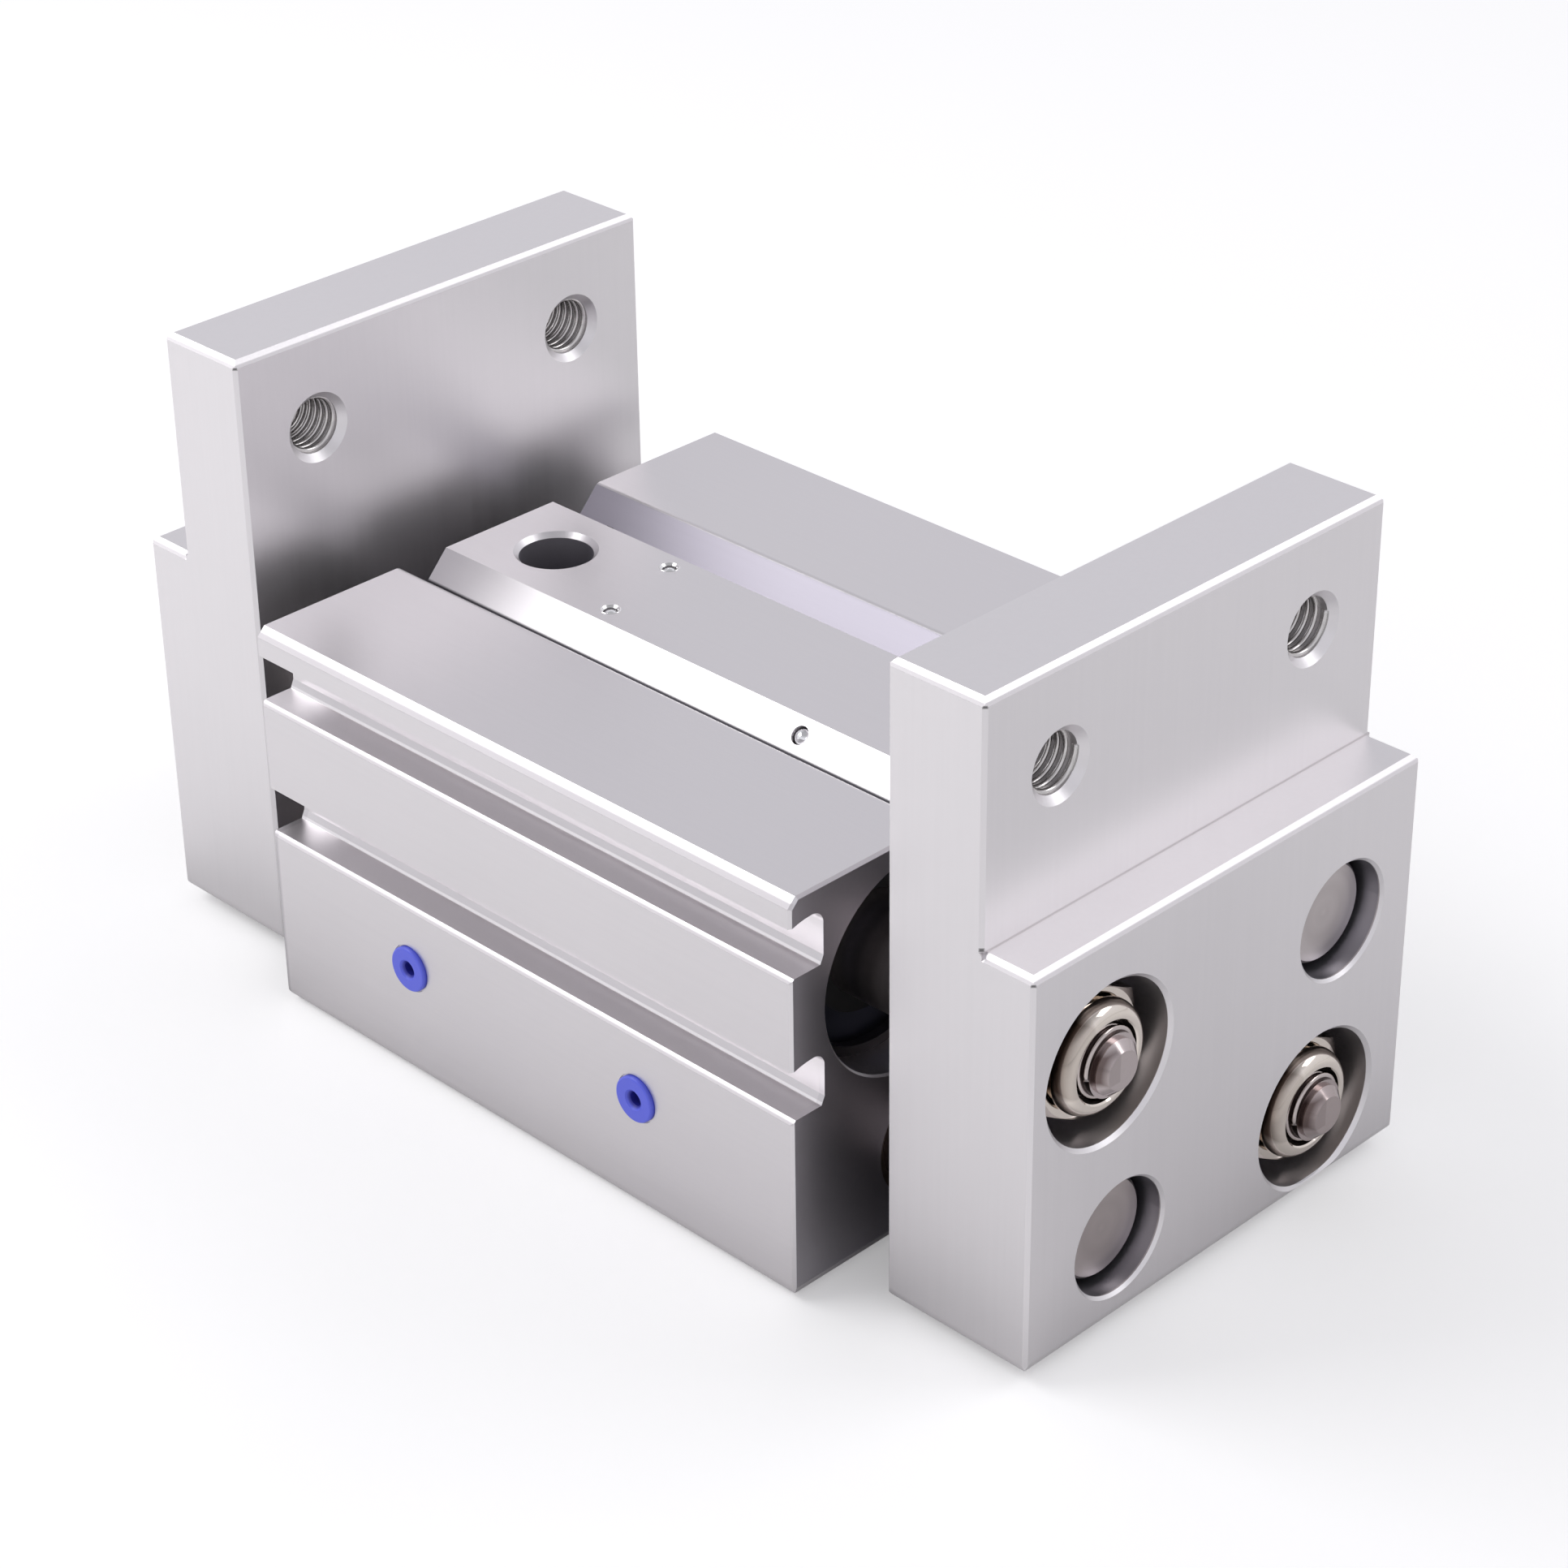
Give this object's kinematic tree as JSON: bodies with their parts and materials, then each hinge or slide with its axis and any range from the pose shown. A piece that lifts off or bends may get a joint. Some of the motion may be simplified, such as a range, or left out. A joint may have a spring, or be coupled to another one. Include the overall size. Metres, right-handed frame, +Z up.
{
  "type": "parallel gripper",
  "caption": "Wide-opening parallel gripper: slotted block with two opposed rod-guided fingers, linked by racks and a pinion.",
  "frame": {"origin": "centre of the housing's underside", "axes": "+X from the left finger to the right finger along their travel, +Y towards the back, +Z up towards the finger lugs"},
  "size_m": [0.168, 0.0866, 0.0915],
  "materials": {
    "housing_aluminium": "satin clear anodised",
    "finger_aluminium": "satin clear anodised with bright chamfers",
    "cover_aluminium": "dark anodised, turned",
    "piston_aluminium": "turned",
    "rod_steel": "ground and hard plated",
    "nut_plating": "bright nickel plating",
    "spring_steel": "blued spring steel",
    "gear_steel": "hobbed and hardened",
    "ball_steel": "polished",
    "bush_bronze": "sintered, oil filled",
    "seal_rubber": "moulded",
    "cushion_rubber": "moulded",
    "magnet_compound": "bonded magnet",
    "wear_plastic": "low-friction plastic",
    "plug_plastic": "moulded shipping plug"
  },
  "bodies": {
    "housing": {"body_housing": "housing_aluminium", "rod_cover_front_right": "cover_aluminium", "rod_cover_front_left": "cover_aluminium", "rod_cover_back_right": "cover_aluminium", "rod_cover_back_left": "cover_aluminium", "rod_bushes": "bush_bronze", "rod_seals": "seal_rubber", "cover_seal_rings": "seal_rubber", "cover_snap_rings": "spring_steel", "cushion_rings": "cushion_rubber", "rack_bushes": "bush_bronze", "pinion_pin": "gear_steel", "pinion_thrust_washers": "wear_plastic", "pinion_cover": "cover_aluminium", "pinion_cover_snap_ring": "spring_steel", "port_plug_right": "plug_plastic", "port_plug_left": "plug_plastic", "passage_ball_plugs": "ball_steel"},
    "right_jaw": {"finger_right": "finger_aluminium", "piston_rod_right": "rod_steel", "rack_rod_right": "rod_steel", "piston_right": "piston_aluminium", "piston_seals_right": "seal_rubber", "piston_magnet_right": "magnet_compound", "piston_wear_ring_right": "wear_plastic", "piston_clips_right": "spring_steel", "lock_nuts_right": "nut_plating", "spring_washers_right": "spring_steel"},
    "left_jaw": {"finger_left": "finger_aluminium", "piston_rod_left": "rod_steel", "rack_rod_left": "rod_steel", "piston_left": "piston_aluminium", "piston_seals_left": "seal_rubber", "piston_magnet_left": "magnet_compound", "piston_wear_ring_left": "wear_plastic", "piston_clips_left": "spring_steel", "lock_nuts_left": "nut_plating", "spring_washers_left": "spring_steel"},
    "pinion": {"pinion_gear": "gear_steel", "pinion_bush": "bush_bronze"}
  },
  "joints": [
    {"name": "right_jaw_slide", "type": "slide", "parent": "housing", "child": "right_jaw", "axis": [1, 0, 0], "range_m": [-0.0085, 0.0165]},
    {"name": "left_jaw_slide", "type": "slide", "parent": "housing", "child": "left_jaw", "axis": [-1, 0, 0], "range_m": [-0.0085, 0.0165]},
    {"name": "pinion_spin", "type": "hinge", "parent": "housing", "child": "pinion", "pos_m": [0, 0, 0.0136], "axis": [0, 0, 1], "range_deg": [-63.1, 32.6]}
  ],
  "couplings": [
    {"joint": "left_jaw_slide", "follows": "right_jaw_slide", "ratio": 1},
    {"joint": "pinion_spin", "follows": "right_jaw_slide", "rad_per_m": -66.667}
  ]
}
